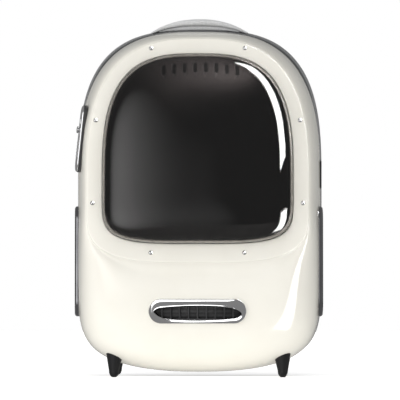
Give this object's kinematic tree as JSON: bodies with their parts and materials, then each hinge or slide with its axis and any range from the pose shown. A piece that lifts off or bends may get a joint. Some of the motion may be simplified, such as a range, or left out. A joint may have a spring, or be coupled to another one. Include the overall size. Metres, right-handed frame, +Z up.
{
  "type": "bubble pet carrier backpack",
  "caption": "Hard-fronted pet backpack with a smoked dome window, barred vents, a side-hinged front, a sliding latch, a top handle and padded shoulder straps, standing on rubber feet",
  "frame": {"origin": "on the ground under the middle of the whole backpack's box", "axes": "+Z up, the window faces -Y, +X is on the viewer's right when looking at the window"},
  "size_m": [0.3306, 0.3012, 0.475],
  "materials": {
    "cream_shell": "glossy moulded cream",
    "smoked_dome": "clear smoked acrylic",
    "chrome_trim": "polished",
    "charcoal_plastic": "satin",
    "black_rubber": "matte",
    "grey_fabric": "woven",
    "black_liner": "brushed knit",
    "light_webbing": "fine ribbed weave",
    "grey_mesh": "spacer mesh",
    "black_webbing": "flat woven webbing",
    "dark_steel": "satin black"
  },
  "bodies": {
    "carrier": {"rear_shell": "grey_fabric", "cabin_liner": "black_liner", "seam_gasket": "charcoal_plastic", "carry_handle": "light_webbing", "back_pad": "grey_mesh", "shoulder_strap_left": "grey_mesh", "shoulder_strap_right": "grey_mesh", "webbing_left": "black_webbing", "webbing_right": "black_webbing", "adjuster_left": "charcoal_plastic", "adjuster_right": "charcoal_plastic", "rear_foot_left": "black_rubber", "rear_foot_right": "black_rubber", "hinge_rear_lower": "dark_steel", "hinge_rear_upper": "dark_steel", "hinge_pin_lower": "dark_steel", "hinge_pin_upper": "dark_steel"},
    "door": {"front_shell": "cream_shell", "window_bubble": "smoked_dome", "rivet_1": "chrome_trim", "rivet_2": "chrome_trim", "rivet_3": "chrome_trim", "rivet_4": "chrome_trim", "rivet_5": "chrome_trim", "rivet_6": "chrome_trim", "rivet_7": "chrome_trim", "rivet_8": "chrome_trim", "front_grille_bezel": "chrome_trim", "front_grille_insert": "charcoal_plastic", "side_vent_left_bezel": "chrome_trim", "side_vent_left_insert": "charcoal_plastic", "side_vent_right_bezel": "chrome_trim", "side_vent_right_insert": "charcoal_plastic", "latch_plate": "charcoal_plastic", "latch_bezel": "chrome_trim", "front_foot_left": "black_rubber", "front_foot_right": "black_rubber", "hinge_door_lower": "dark_steel", "hinge_door_upper": "dark_steel"},
    "latch_slider": {"slide_latch": "chrome_trim"}
  },
  "joints": [
    {"name": "door_swing", "type": "hinge", "parent": "carrier", "child": "door", "pos_m": [0.1602, 0.00766, 0.2], "axis": [0, 0, 1], "range_deg": [0, 105]},
    {"name": "latch_slide", "type": "slide", "parent": "door", "child": "latch_slider", "axis": [0.1058, 0, 0.9944], "range_m": [0, 0.01]}
  ]
}
